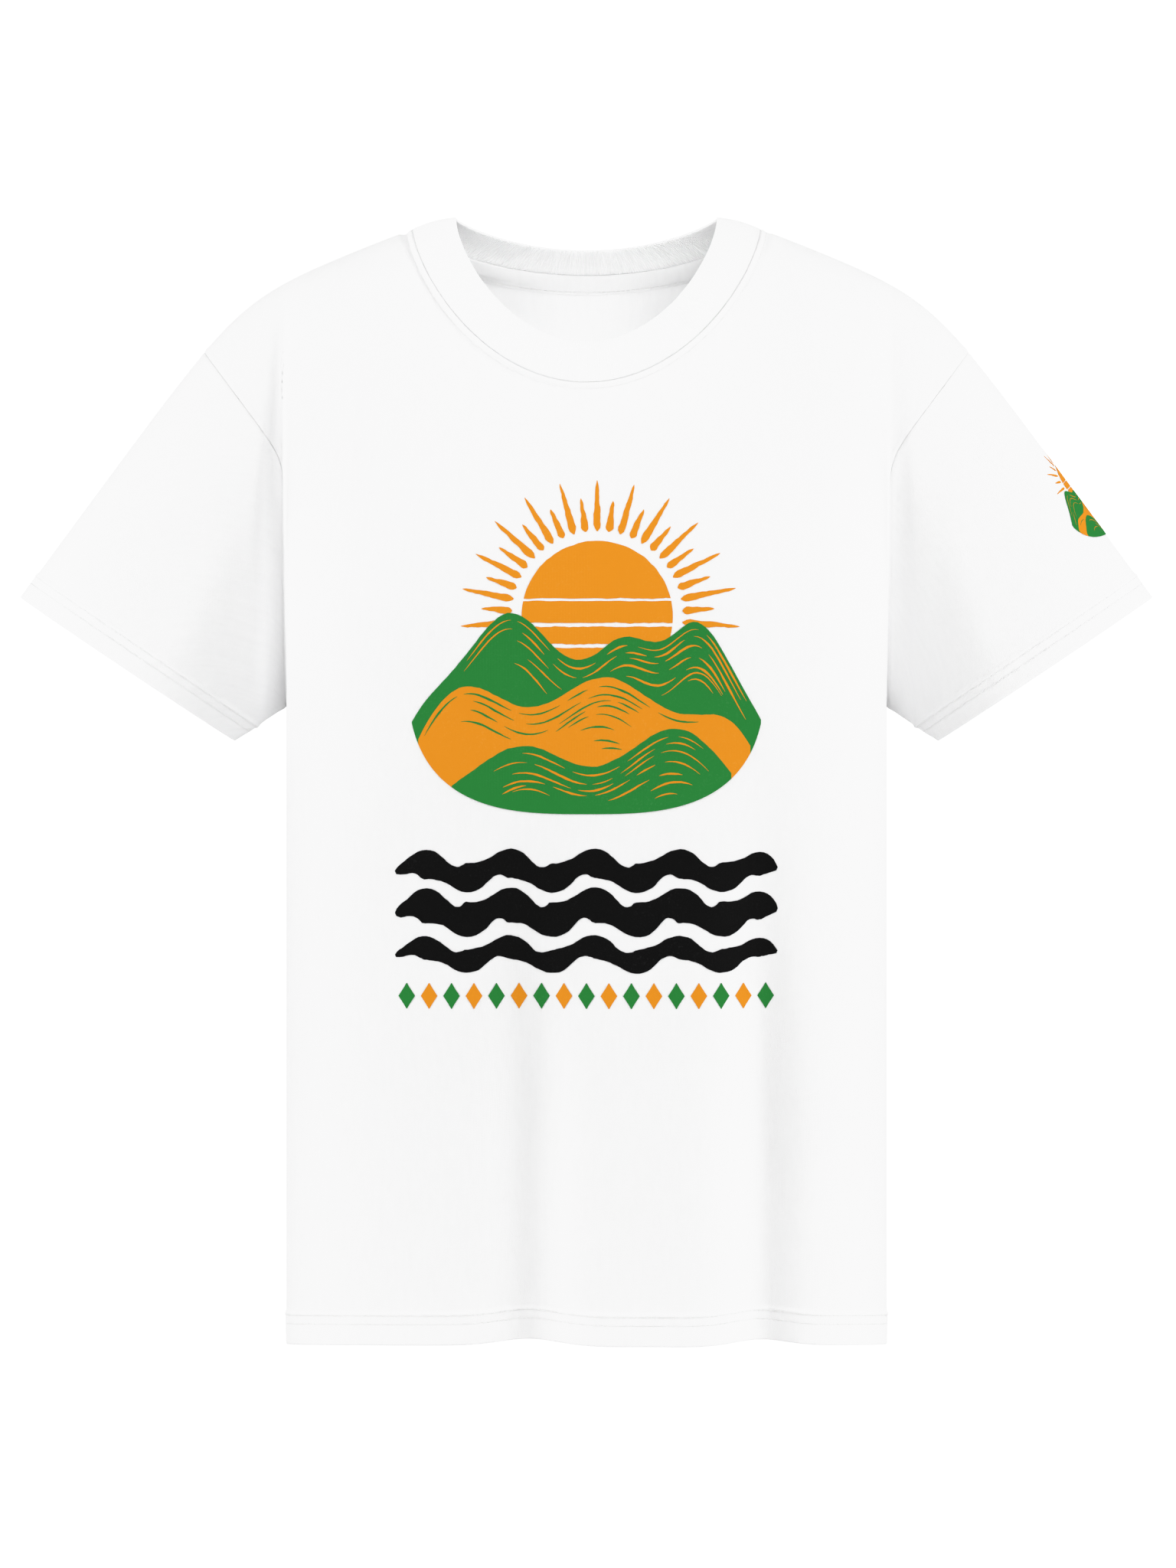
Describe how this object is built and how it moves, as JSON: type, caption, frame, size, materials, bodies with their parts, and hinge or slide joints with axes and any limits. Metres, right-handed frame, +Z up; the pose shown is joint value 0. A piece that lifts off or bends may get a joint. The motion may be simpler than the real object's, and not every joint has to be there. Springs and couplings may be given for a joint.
{
  "type": "t-shirt",
  "caption": "Short-sleeved crew-neck cotton T-shirt, hanging as if worn, with a ribbed collar, set-in sleeves and stitched hems.",
  "frame": {"origin": "midway between the two high shoulder points, at the level where the collar's edge is highest", "axes": "+Z up along the body, -Y towards the front of the shirt, +X towards the wearer's left sleeve"},
  "size_m": [0.72, 0.232, 0.717],
  "materials": {
    "jersey": "matt white cotton single jersey",
    "rib": "matt white one-by-one rib knit",
    "tape": "matt white folded jersey tape",
    "thread": "white sewing thread, slight sheen",
    "orange_ink": "soft matt screen-print ink",
    "green_ink": "soft matt screen-print ink",
    "black_ink": "soft matt screen-print ink"
  },
  "bodies": {
    "root": {"front_body": "jersey", "back_body": "jersey", "left_sleeve": "jersey", "right_sleeve": "jersey", "left_sleeve_hem": "jersey", "right_sleeve_hem": "jersey", "bottom_hem": "jersey", "neck_rib": "rib", "neck_tape": "tape"}
  },
  "joints": []
}
